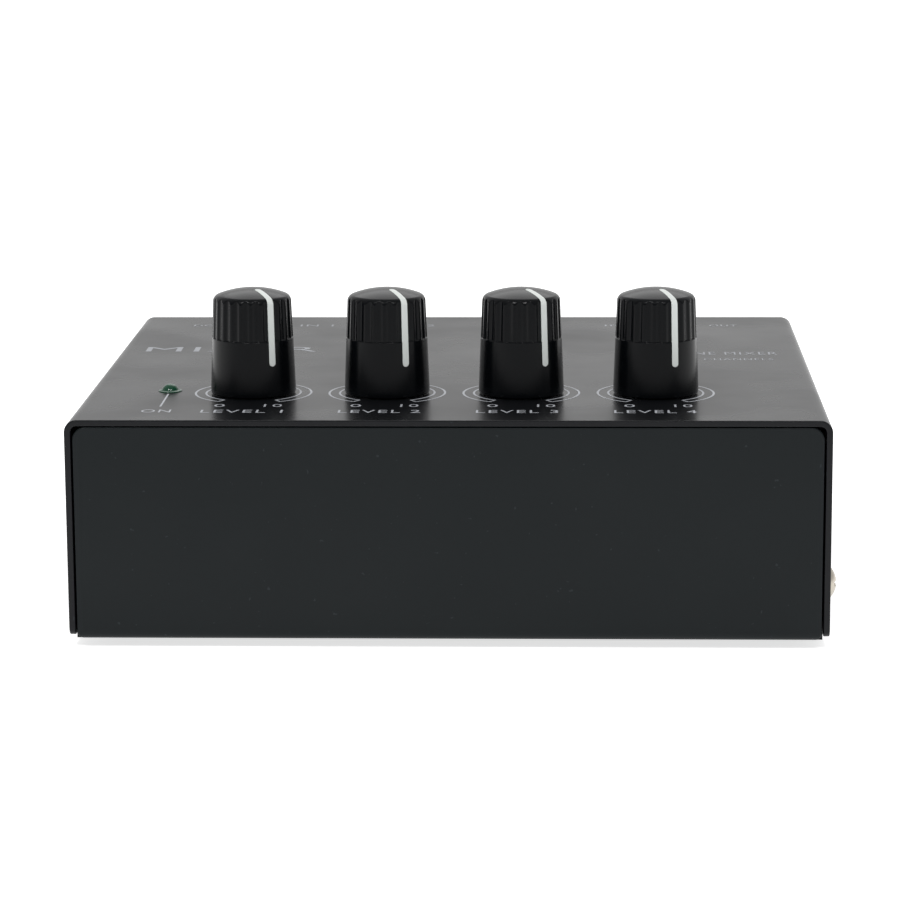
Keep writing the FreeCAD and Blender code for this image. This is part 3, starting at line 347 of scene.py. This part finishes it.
# %% [markdown]
# ## Knobs
# A knob is moulded ABS: a tapered skirt, a low dome, and twenty-four finger flutes on the upper
# part that end in small ledges. The body is a surface of revolution whose radius is held back
# in the flutes: at each point the radius is the smaller of the plain profile and the flute's
# own round trough. A boolean cut would give the same shape with rough shading at the ledges.
# Radii and heights are in millimetres, with heights counted from the top of the cover.

# %% Knob sizes
BASE_R = 6.9
SHOULDER_R = 6.35
SHOULDER_Z = 15.15
EDGE_R = 1.2
RIM_R = 5.58
RIM_Z = 16.27
DOME_Z = 17.3
BAND_Z = 1.0
GAP_Z = 0.2
FOOT_R = 0.25
BORE_R, BORE_TOP = 5.5, 8.0
HUB_R, HUB_LOW = 4.2, 0.6
SHAFT_R, SHAFT_TOP = 3.03, 10.13
FLUTES = 24
FLUTE_LOW = 9.2
FLUTE_DEPTH = 0.22
FLUTE_R = 0.75
FLUTE_SOFT = 0.12
LEDGE_RISE = 0.22
EDGE_CENTRE = (SHOULDER_R - EDGE_R, SHOULDER_Z)
RIM_TURN = math.degrees(math.atan2(RIM_Z - SHOULDER_Z, RIM_R - EDGE_CENTRE[0]))
DOME_R = (RIM_R ** 2 + (DOME_Z - RIM_Z) ** 2) / (2 * (DOME_Z - RIM_Z))
SLOPE = (BASE_R - SHOULDER_R) / (SHOULDER_Z - BAND_Z)
APART = 3  # degrees that the shoulder's arc stays clear of the dome and of the side
print("the dome's radius is", round(DOME_R, 1), "mm")

# %% [markdown]
# The rows of the sheet lie closest together where the shape turns: on the shoulder and at the
# ledges under the flutes. Each flute gets the same number of columns, so all of them shade alike.

# %% Knob surface
DOME_ROWS, SHOULDER_ROWS, SIDE_ROWS, SKIRT_ROWS, FOOT_ROWS = 26, 16, 12, 8, 6
LEDGE_ABOVE, LEDGE_BELOW, BAND_ABOVE = 0.30, 0.05, 0.3
FLUTE_COLUMNS = 20


def knob_outside():
    """Outer profile from the middle of the dome down to the lower edge, as (radius, height):
    an arc for the dome, a small arc for the shoulder, then the taper, a straight band and a
    small arc into the underside."""
    dome_half = math.degrees(math.asin(RIM_R / DOME_R))
    dome = arc((0, DOME_Z - DOME_R), DOME_R, 90, 90 - dome_half, DOME_ROWS)
    shoulder = arc(EDGE_CENTRE, EDGE_R, RIM_TURN - APART, APART, SHOULDER_ROWS)
    ledge_high, ledge_low = FLUTE_LOW + LEDGE_ABOVE, FLUTE_LOW - LEDGE_BELOW
    heights = np.concatenate([np.linspace(SHOULDER_Z, ledge_high, SIDE_ROWS)[:-1],
                              np.linspace(ledge_high, ledge_low, SIDE_ROWS)[:-1],
                              np.linspace(ledge_low, BAND_Z + BAND_ABOVE, SKIRT_ROWS)])
    side = np.stack([BASE_R - SLOPE * (heights - BAND_Z), heights], 1)
    lower = arc((BASE_R - FOOT_R, GAP_Z + FOOT_R), FOOT_R, 0, -90, FOOT_ROWS)
    return np.concatenate([dome, shoulder, side, [[BASE_R, BAND_Z]], lower])


def knob_inside():
    """Hidden side of the profile: hollow under the skirt, hub, and the hole for the shaft."""
    return np.array([(BORE_R, GAP_Z), (BORE_R, BORE_TOP), (HUB_R, BORE_TOP), (HUB_R, HUB_LOW),
                     (SHAFT_R, HUB_LOW), (SHAFT_R, SHAFT_TOP), (0.0, SHAFT_TOP)])


def smooth_step(value, low, high):
    """0 below low, 1 above high, and a smooth cubic rise between them."""
    share = np.clip((value - low) / (high - low), 0, 1)
    return share * share * (3 - 2 * share)


def knob_points(axis, turn):
    """Rows along the profile, columns round the axis; the radius is the smaller of the profile
    and the taper less the trough. A trough t is a circle of FLUTE_R, sunk FLUTE_DEPTH below the
    taper, and its edges are eased: (t + the root of t squared and FLUTE_SOFT squared) / 2."""
    columns = FLUTES * FLUTE_COLUMNS
    angle = np.linspace(0, 2 * np.pi, columns, endpoint=False)
    outside, inside = knob_outside(), knob_inside()
    radius, height = outside[:, 0][:, None], outside[:, 1][:, None]
    taper = BASE_R - SLOPE * (height - BAND_Z)
    pitch = 2 * np.pi / FLUTES
    away = (np.mod(angle, pitch) - pitch / 2)[None, :] * taper
    trough = np.sqrt(np.maximum(FLUTE_R ** 2 - away ** 2, 0)) - (FLUTE_R - FLUTE_DEPTH)
    depth = (trough + np.sqrt(trough ** 2 + FLUTE_SOFT ** 2)) / 2
    opened = smooth_step(height, FLUTE_LOW, FLUTE_LOW + LEDGE_RISE)
    radius = np.minimum(radius, taper - depth * opened)
    radius = np.concatenate([radius, np.repeat(inside[:, :1], columns, 1)])
    height = np.concatenate([outside[:, 1], inside[:, 1]])[:, None] + 0 * radius
    return turned(radius, height, angle + turn, axis)


def middle_of(node):
    """The mean of all corner points of a node of the design model, in metres."""
    mesh = frame["nodes"][node].data
    flat = np.zeros(len(mesh.vertices) * 3)
    mesh.vertices.foreach_get("co", flat)
    return flat.reshape(-1, 3).mean(0)


pointer_direction = {}
for channel in CHANNELS:
    axis = AXES[f"level_control_{channel}"]
    along = middle_of(f"knob_pointer_{channel}") - np.array(axis)
    pointer_direction[channel] = math.atan2(along[1], along[0])
    print("knob", channel, "points", round(math.degrees(pointer_direction[channel]) + 90, 1),
          "degrees to the right of the front")

# %% [markdown]
# The plastic is black ABS from a polished mould. Real ABS has an index of about 1.54. It is set
# lower here, because in a white studio the knobs would turn grey where they should be nearly
# black. The face of the mould leaves a grain too fine to see one by one, which only softens the
# glints, so a faint bump does for it.

# %% Knob plastic and the four knobs
GRAIN_MM = 0.25
GRAIN_DEEP_MM = 0.01
GRAIN_STRENGTH = 0.05
ABS_IOR = 1.26


def moulded_abs(name, hex_code, roughness):
    """Moulded ABS: even colour and gloss, and a faint noise bump from the mould's face."""
    material, tree, shader = new_material(name, Base_Color=linear(hex_code), IOR=ABS_IOR,
                                          Roughness=roughness)
    place = add(tree, "ShaderNodeTexCoord").outputs["Object"]
    grain = add(tree, "ShaderNodeTexNoise", {"Scale": 1 / (GRAIN_MM * MM), "Detail": 2.0},
                Vector=place)
    bump = add(tree, "ShaderNodeBump", {"Strength": GRAIN_STRENGTH, "Distance": GRAIN_DEEP_MM * MM},
               Height=grain.outputs["Fac"])
    tree.links.new(bump.outputs["Normal"], shader.inputs["Normal"])
    return material


knob_abs = moulded_abs("black_gloss_abs_knob", "#07090c", 0.22)
for channel in CHANNELS:
    body = f"level_control_{channel}"
    points = knob_points(AXES[body], pointer_direction[channel])
    knob = make_piece(f"knob_surface_{channel}", points, knob_abs, body, 50.0)
    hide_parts(f"knob_{channel}")
print("a knob has", len(knob.data.polygons), "faces")

# %% [markdown]
# ## White pointers
# The line on each knob is a second plastic, moulded into a slot. It starts a little way out from
# the middle of the dome, runs over the shoulder and down the side, and its ends are round. It is
# a closed section, like a loaf, carried along the knob's own profile; where the path ends, the
# section shrinks on a half circle. A painted line would need no shape, but the real one stands
# slightly proud.

# %% Pointer surface
POINTER_LOW = 5.3
POINTER_IN = 1.6
POINTER_HALF = 0.525
POINTER_PROUD = 0.04
POINTER_SUNK = 0.35
INNER_SHARE, WIDENS = 0.93, 0.12
TIP_HALF = 1e-5
LOAF_POWER = 0.45
POINTER_DOME, POINTER_SHOULDER, POINTER_SIDE, POINTER_ROUND = 60, 24, 120, 24


def pointer_path():
    """Centre line on the knob's profile, as (radius, height), with its outward directions."""
    dome_in = math.degrees(math.asin(POINTER_IN / DOME_R))
    dome_out = math.degrees(math.asin(RIM_R / DOME_R))
    dome = arc((0, DOME_Z - DOME_R), DOME_R, 90 - dome_in, 90 - dome_out, POINTER_DOME)
    shoulder = arc(EDGE_CENTRE, EDGE_R, RIM_TURN - APART, APART, POINTER_SHOULDER)
    foot = (BASE_R - SLOPE * (POINTER_LOW - BAND_Z), POINTER_LOW)
    side = line((SHOULDER_R, SHOULDER_Z), foot, POINTER_SIDE)
    path = np.concatenate([dome, shoulder, side])
    ahead = np.gradient(path, axis=0)
    ahead /= np.linalg.norm(ahead, axis=1)[:, None]
    outward = np.stack([-ahead[:, 1], ahead[:, 0]], 1)
    outward *= np.sign(outward[:, :1] + outward[:, 1:])
    return path, outward


def pointer_points(axis, turn):
    """Rows along the path, columns round the loaf section, whose corners come from a power of
    the sine and cosine. Half width grows a little along the path and follows a half circle at
    each end: sqrt(half squared minus (half minus distance to the end) squared)."""
    path, outward = pointer_path()
    steps = np.linalg.norm(np.diff(path, axis=0), axis=1)
    along = np.concatenate([[0], np.cumsum(steps)])
    to_end = np.minimum(along, along[-1] - along)
    half = POINTER_HALF * (INNER_SHARE + WIDENS * along / along[-1])
    inside_end = np.clip(half - to_end, 0, None)
    half = np.sqrt(np.maximum(half ** 2 - inside_end ** 2, 0)) + TIP_HALF
    around = np.linspace(0, 2 * np.pi, POINTER_ROUND, endpoint=False)
    across = np.sign(np.cos(around)) * np.abs(np.cos(around)) ** LOAF_POWER
    rise = np.sign(np.sin(around)) * np.abs(np.sin(around)) ** LOAF_POWER
    lift = np.where(rise > 0, rise * POINTER_PROUD, rise * POINTER_SUNK)[None, :]
    radius = path[:, :1] + outward[:, :1] * lift
    height = path[:, 1:] + outward[:, 1:] * lift
    sideways = half[:, None] * across[None, :]
    x = radius * math.cos(turn) - sideways * math.sin(turn)
    y = radius * math.sin(turn) + sideways * math.cos(turn)
    points = np.stack([x, y, height], -1) * MM
    return points + np.array([axis.x, axis.y, TOP])


def capped(points):
    """Closes the first and last rows of a tube by repeating each one at its own middle."""
    first = np.broadcast_to(points[:1].mean(1, keepdims=True), points[:1].shape)
    last = np.broadcast_to(points[-1:].mean(1, keepdims=True), points[-1:].shape)
    return np.concatenate([first, points, last])


pointer_abs = moulded_abs("white_abs_insert", "#e4e9e6", 0.42)
for channel in CHANNELS:
    body = f"level_control_{channel}"
    points = capped(pointer_points(AXES[body], pointer_direction[channel]))
    pointer = make_piece(f"pointer_insert_{channel}", points, pointer_abs, body,
                         70.0)
    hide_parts(f"knob_pointer_{channel}")
print("a pointer has", len(pointer.data.polygons), "faces")

# %% [markdown]
# ## The lamp
# The lamp is a low 3 mm LED in clear green epoxy, switched off. A thin flange fills the hole in
# the cover and a half ball stands above it. It is one surface of revolution: flange edge, a
# short slope, dome. Clear epoxy this deep looks almost solid, so the shader is a dark green
# with a clear gloss and a little transmission, rather than a true glass that would need the
# chip inside it.

# %% Lamp surface and epoxy
lamp_low, lamp_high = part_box("lamp_lens")
lamp_axis = Vector(((lamp_low.x + lamp_high.x) / 2, (lamp_low.y + lamp_high.y) / 2, 0))
BALL_R = 1.5
BRIM_Z = 0.15
BRIM_R = 0.1
CHAMFER = 0.05
SLOPE_TURN = 6  # degrees up the ball at which the slope from the brim meets it
LAMP_BRIM, LAMP_BALL, LAMP_ROUND = 7, 28, 96


def lamp_points():
    """Revolved profile: flat underside, small chamfer, flange with a rounded rim, then a dome
    that is a circle of 1.5 mm, reached by a short slope."""
    low, top = (lamp_low.z - TOP) / MM, (lamp_high.z - TOP) / MM
    rim = (lamp_high.x - lamp_low.x) / 2 / MM
    middle = top - BALL_R
    start = math.degrees(math.asin((BRIM_Z - middle) / BALL_R)) + SLOPE_TURN
    profile = np.concatenate([
        [(0, low)], [(rim - CHAMFER, low)], [(rim, low + CHAMFER)],
        arc((rim - BRIM_R, BRIM_Z - BRIM_R), BRIM_R, 0, 90, LAMP_BRIM),
        arc((0, middle), BALL_R, start, 90, LAMP_BALL)])
    profile[-1, 0] = 0.0
    angle = np.linspace(0, 2 * np.pi, LAMP_ROUND, endpoint=False)
    radius = np.repeat(profile[:, :1], angle.size, 1)
    return turned(radius, profile[:, 1:] + 0 * radius, angle[None, :], lamp_axis)


epoxy, _, _ = new_material("clear_green_cast_epoxy", Base_Color=linear("#12543a"), IOR=1.45,
                           Roughness=0.14, Transmission_Weight=0.25)
lamp = make_piece("lamp_dome", lamp_points(), epoxy, "case", 60.0)
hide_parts("lamp_lens")
print("the lamp stands", round((lamp_high.z - TOP) / MM, 2), "mm above the cover")

# %% [markdown]
# ## Pale print
# Screen-printed ink lies on the paint as a film that the eye sees only by its colour. Lines and
# rings are strips worked out from circles and straight runs. Printing with an image texture
# would be shorter, but a mesh stays sharp at any distance. Two inks are used: a pale one near
# the knobs and a greyer one for what stands behind them.

# %% Ink, strips and rings
INK_LIFT = 0.015 * MM
LINE_MM = 0.35
RING_OUT = 9.4
RING_IN = 7.7
RING_OPEN = 32.0
RING_OUT_STEPS, RING_IN_STEPS, LEADER_STEPS = 160, 140, 12
LEADER_NEAR, LEADER_FAR, LEADER_MM = 11.6, 22.7, 0.3
ink, _, _ = new_material("white_screen_print_ink", Base_Color=linear("#b9bcc2"), IOR=1.4,
                         Roughness=0.5)
grey_ink, _, _ = new_material("grey_screen_print_ink", Base_Color=linear("#a0a3a9"), IOR=1.4,
                              Roughness=0.5)
printed = []


def lay_print(name, mesh, colour):
    """Turns a flat mesh face up, gives it its ink and lays it on the case."""
    if mesh.polygons[0].normal.z < 0:
        mesh.flip_normals()
    mesh.materials.clear()
    mesh.materials.append(colour)
    piece = bpy.data.objects.new(name, mesh)
    bpy.context.scene.collection.objects.link(piece)
    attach(piece, "case")
    printed.append(piece)


def print_strip(name, centre_line, width=LINE_MM, closed=False):
    """A flat strip of even width along a centre line of (x, y) points in millimetres: each
    point is moved half the width to both sides, across the line's own direction."""
    path = np.array(centre_line, float)
    if closed:
        ahead = np.roll(path, -1, 0) - np.roll(path, 1, 0)
    else:
        ahead = np.gradient(path, axis=0)
    ahead /= np.linalg.norm(ahead, axis=1)[:, None]
    aside = np.stack([-ahead[:, 1], ahead[:, 0]], 1) * width / 2
    edges = np.stack([path + aside, path - aside], 1)
    points = np.concatenate([edges * MM, np.full((*edges.shape[:2], 1), TOP + INK_LIFT)], -1)
    rows = points.shape[0]
    faces = grid_faces(rows, 2, False)
    if closed:
        join = np.array([[2 * rows - 2, 2 * rows - 1, 1, 0]])
        faces = np.concatenate([faces, join])
    mesh = bpy.data.meshes.new(name)
    mesh.from_pydata(points.reshape(-1, 3).tolist(), [], faces.tolist())
    lay_print(name, mesh, ink)


def ring_outline(axis):
    """Two arcs round a knob, joined at both ends by straight runs, open towards the front."""
    centre = (axis.x / MM, axis.y / MM)
    outer = arc(centre, RING_OUT, -90 + RING_OPEN, 270 - RING_OPEN, RING_OUT_STEPS)
    inner = arc(centre, RING_IN, 270 - RING_OPEN, -90 + RING_OPEN, RING_IN_STEPS)
    return np.concatenate([outer, inner])


for channel in CHANNELS:
    print_strip(f"level_ring_{channel}", ring_outline(AXES[f"level_control_{channel}"]),
                closed=True)
front_mm = FRONT / MM
lamp_x = lamp_axis.x / MM
leader = line((lamp_x, front_mm + LEADER_NEAR), (lamp_x, front_mm + LEADER_FAR), LEADER_STEPS)
print_strip("lamp_leader", leader, LEADER_MM)
print(len(printed), "strips")

# %% [markdown]
# Words are Blender's own font, turned into meshes, stretched to the height and width that the
# print has, and laid on the cover. Only generic words are used. Each row of KNOB_WORDS and
# COVER_WORDS gives a name, the words, their place (right of the knob or of the middle, and back
# from the front edge), the height of their capitals and their whole width, in millimetres. The
# rear words stand in one line, each above its own socket, so their rows give only the node that
# they go with, the words and their width.

# %% Words on the cover
LETTER_SPACING = 1.15
CURVE_STEPS = 4
KNOB_WORDS = (("level", "LEVEL {}", -0.43, 7.6, 2.4, 13.0),
              ("zero", "0", -4.43, 12.6, 2.2, 1.7),
              ("ten", "10", 4.12, 12.6, 2.2, 2.9))
ON_ASIDE, ON_BACK, ON_CAP, ON_WIDTH = -0.25, 7.8, 2.4, 4.7
COVER_WORDS = (("title", "MIXER", -40.0, 66.0, 4.6, 30.0),
               ("kind", "LINE MIXER", 46.5, 62.0, 2.6, 17.0),
               ("channels", "4 CHANNELS", 47.0, 56.0, 1.8, 14.0))
INPUTS = (1, 2, 3, 4)
OUTPUT = 5
REAR_WORDS = [(f"jack_{number}", f"jack_housing_{number}", f"IN {number}", 6.0)
              for number in INPUTS]
REAR_WORDS += [(f"jack_{OUTPUT}", f"jack_housing_{OUTPUT}", "OUT", 5.0),
               ("inlet", "inlet_body", "DC IN", 7.0)]
REAR_BACK, REAR_CAP = 92.0, 1.9


def print_words(name, words, centre, cap, width, colour):
    """Words as a mesh: scaled so that capitals are cap high and the whole is width wide, with
    the middle of its box at the centre point, all in millimetres."""
    curve = bpy.data.curves.new(name, "FONT")
    curve.body = words
    curve.resolution_u = CURVE_STEPS
    curve.space_character = LETTER_SPACING
    text = bpy.data.objects.new(name, curve)
    bpy.context.scene.collection.objects.link(text)
    bpy.context.view_layer.update()
    mesh = bpy.data.meshes.new_from_object(text)
    bpy.data.objects.remove(text)
    flat = np.zeros(len(mesh.vertices) * 3)
    mesh.vertices.foreach_get("co", flat)
    flat = flat.reshape(-1, 3)
    low, high = flat.min(0), flat.max(0)
    scale = np.array([width / (high[0] - low[0]), cap / (high[1] - low[1]), 0.0])
    flat = (flat - (low + high) / 2) * scale * MM
    flat += np.array([centre[0] * MM, centre[1] * MM, TOP + INK_LIFT])
    mesh.vertices.foreach_set("co", flat.ravel())
    mesh.update()
    lay_print(name, mesh, colour)


for channel in CHANNELS:
    x = AXES[f"level_control_{channel}"].x / MM
    for kind, words, aside, back, cap, width in KNOB_WORDS:
        print_words(f"print_{kind}_{channel}", words.format(channel),
                    (x + aside, front_mm + back), cap, width, ink)
print_words("print_on", "ON", (lamp_x + ON_ASIDE, front_mm + ON_BACK), ON_CAP, ON_WIDTH, ink)
for kind, words, aside, back, cap, width in COVER_WORDS:
    print_words(f"print_{kind}", words, (aside, front_mm + back), cap, width, grey_ink)
for kind, node, words, width in REAR_WORDS:
    low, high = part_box(node)
    print_words(f"print_{kind}", words, ((low.x + high.x) / 2 / MM, front_mm + REAR_BACK),
                REAR_CAP, width, grey_ink)
print(len(printed), "printed marks")

# %% [markdown]
# ## Metal, rubber and board
# The remaining pieces come from the design model and only need their finishes. Nickel is a warm
# grey metal with a soft polish, and zinc a cooler and duller one; spring metal is yellower.
# Rubber is matt and slightly dusty. The board is green lacquer over glass cloth whose weave
# shows through, and moulded housings are satin nylon. Plain colours would do for what is hidden
# inside, but the nuts, jacks and feet are seen from behind and below.

# %% Finishes of the remaining pieces
POLISH_MM = 0.4
POLISH_LEAST, POLISH_MOST = 0.7, 1.3
SATIN_DEEP_MM = 0.05
WEAVE_SCALE = 200.0  # bands tau / (20 * scale) = 1.6 mm apart, coarser than cloth so they show


def metal(name, hex_code, roughness):
    """A metal: full metallic, default index, roughness varied by fine noise."""
    material, tree, shader = new_material(name, Base_Color=linear(hex_code), Metallic=1.0)
    place = add(tree, "ShaderNodeTexCoord").outputs["Object"]
    noise = add(tree, "ShaderNodeTexNoise", {"Scale": 1 / (POLISH_MM * MM), "Detail": 3.0},
                Vector=place)
    spread = add(tree, "ShaderNodeMapRange",
                 {"To Min": roughness * POLISH_LEAST, "To Max": roughness * POLISH_MOST},
                 Value=noise.outputs["Fac"])
    tree.links.new(spread.outputs["Result"], shader.inputs["Roughness"])
    return material


def satin(name, hex_code, roughness, grain_mm, strength=0.2):
    """A dull moulded surface: even colour and a grainy bump of a real size."""
    material, tree, shader = new_material(name, Base_Color=linear(hex_code), Roughness=roughness)
    place = add(tree, "ShaderNodeTexCoord").outputs["Object"]
    noise = add(tree, "ShaderNodeTexNoise", {"Scale": 1 / (grain_mm * MM), "Detail": 4.0},
                Vector=place)
    bump = add(tree, "ShaderNodeBump", {"Strength": strength, "Distance": SATIN_DEEP_MM * MM},
               Height=noise.outputs["Fac"])
    tree.links.new(bump.outputs["Normal"], shader.inputs["Normal"])
    return material


def laminate(name, dark_hex, light_hex):
    """Green lacquer over glass cloth: two crossed waves, multiplied, tint the surface."""
    material, tree, shader = new_material(name, Roughness=0.35)
    place = add(tree, "ShaderNodeTexCoord").outputs["Object"]
    weave = [add(tree, "ShaderNodeTexWave", {"bands_direction": way, "Scale": WEAVE_SCALE},
                 Vector=place) for way in ("X", "Y")]
    crossed = add(tree, "ShaderNodeMath", {"operation": "MULTIPLY"})
    tree.links.new(weave[0].outputs["Fac"], crossed.inputs[0])
    tree.links.new(weave[1].outputs["Fac"], crossed.inputs[1])
    tint = add(tree, "ShaderNodeMix", {"data_type": "RGBA"})
    tree.links.new(crossed.outputs["Value"], tint.inputs["Factor"])
    tint.inputs[MIX_A].default_value = linear(dark_hex)
    tint.inputs[MIX_B].default_value = linear(light_hex)
    tree.links.new(tint.outputs[MIX_COLOUR], shader.inputs["Base Color"])
    return material


nickel = metal("nickel_plated_steel", "#b9b2a6", 0.32)
zinc = metal("zinc_plated_steel", "#a9adb3", 0.38)
aluminium = metal("turned_aluminium", "#c6c7c9", 0.30)
spring_brass = metal("nickel_silver_spring", "#c2b28c", 0.28)
can_sleeve = satin("printed_shrink_sleeve", "#161b2c", 0.32, 0.5, 0.05)
rubber = satin("black_moulded_rubber", "#17181a", 0.82, 0.15)
nylon = satin("black_glass_filled_nylon", "#15161a", 0.45, 0.2)
epoxy_black = satin("black_moulded_epoxy", "#121214", 0.5, 0.1)
carbon = satin("printed_carbon_film", "#1b1c1f", 0.6, 0.1)
film_dip = satin("red_dipped_film_capacitor", "#8e2a1a", 0.3, 0.8, 0.1)
lacquer = satin("blue_lacquered_ceramic", "#6f8fa3", 0.35, 0.4, 0.1)
board_laminate = laminate("green_glass_epoxy_laminate", "#0c4a2a", "#12603a")

FINISHES = {
    "cover_screws": nickel, "board_screws": zinc, "board_standoffs": zinc, "jack_nuts": nickel,
    "main_board": board_laminate, "pot_tracks": carbon, "pot_terminals": spring_brass,
    "inlet_body": nylon, "inlet_pin": nickel, "inlet_spring": spring_brass,
    "lamp_spacer": nylon, "lamp_leads": zinc, "op_amps": epoxy_black,
    "voltage_regulator": epoxy_black, "rectifier_diodes": epoxy_black,
    "electrolytic_capacitors": can_sleeve, "film_capacitors": film_dip, "resistors": lacquer,
}
for channel in CHANNELS:
    FINISHES[f"pot_case_{channel}"] = nylon
    FINISHES[f"pot_shaft_{channel}"] = aluminium
    FINISHES[f"pot_wiper_{channel}"] = spring_brass
for number in (*INPUTS, OUTPUT):
    FINISHES[f"jack_housing_{number}"] = nylon
    FINISHES[f"jack_tip_spring_{number}"] = spring_brass
    FINISHES[f"jack_sleeve_spring_{number}"] = spring_brass
for corner in ("front_left", "front_right", "rear_left", "rear_right"):
    FINISHES[f"foot_{corner}"] = rubber
for node, material in FINISHES.items():
    finish_node(node, material)
print(len(FINISHES), "nodes finished")
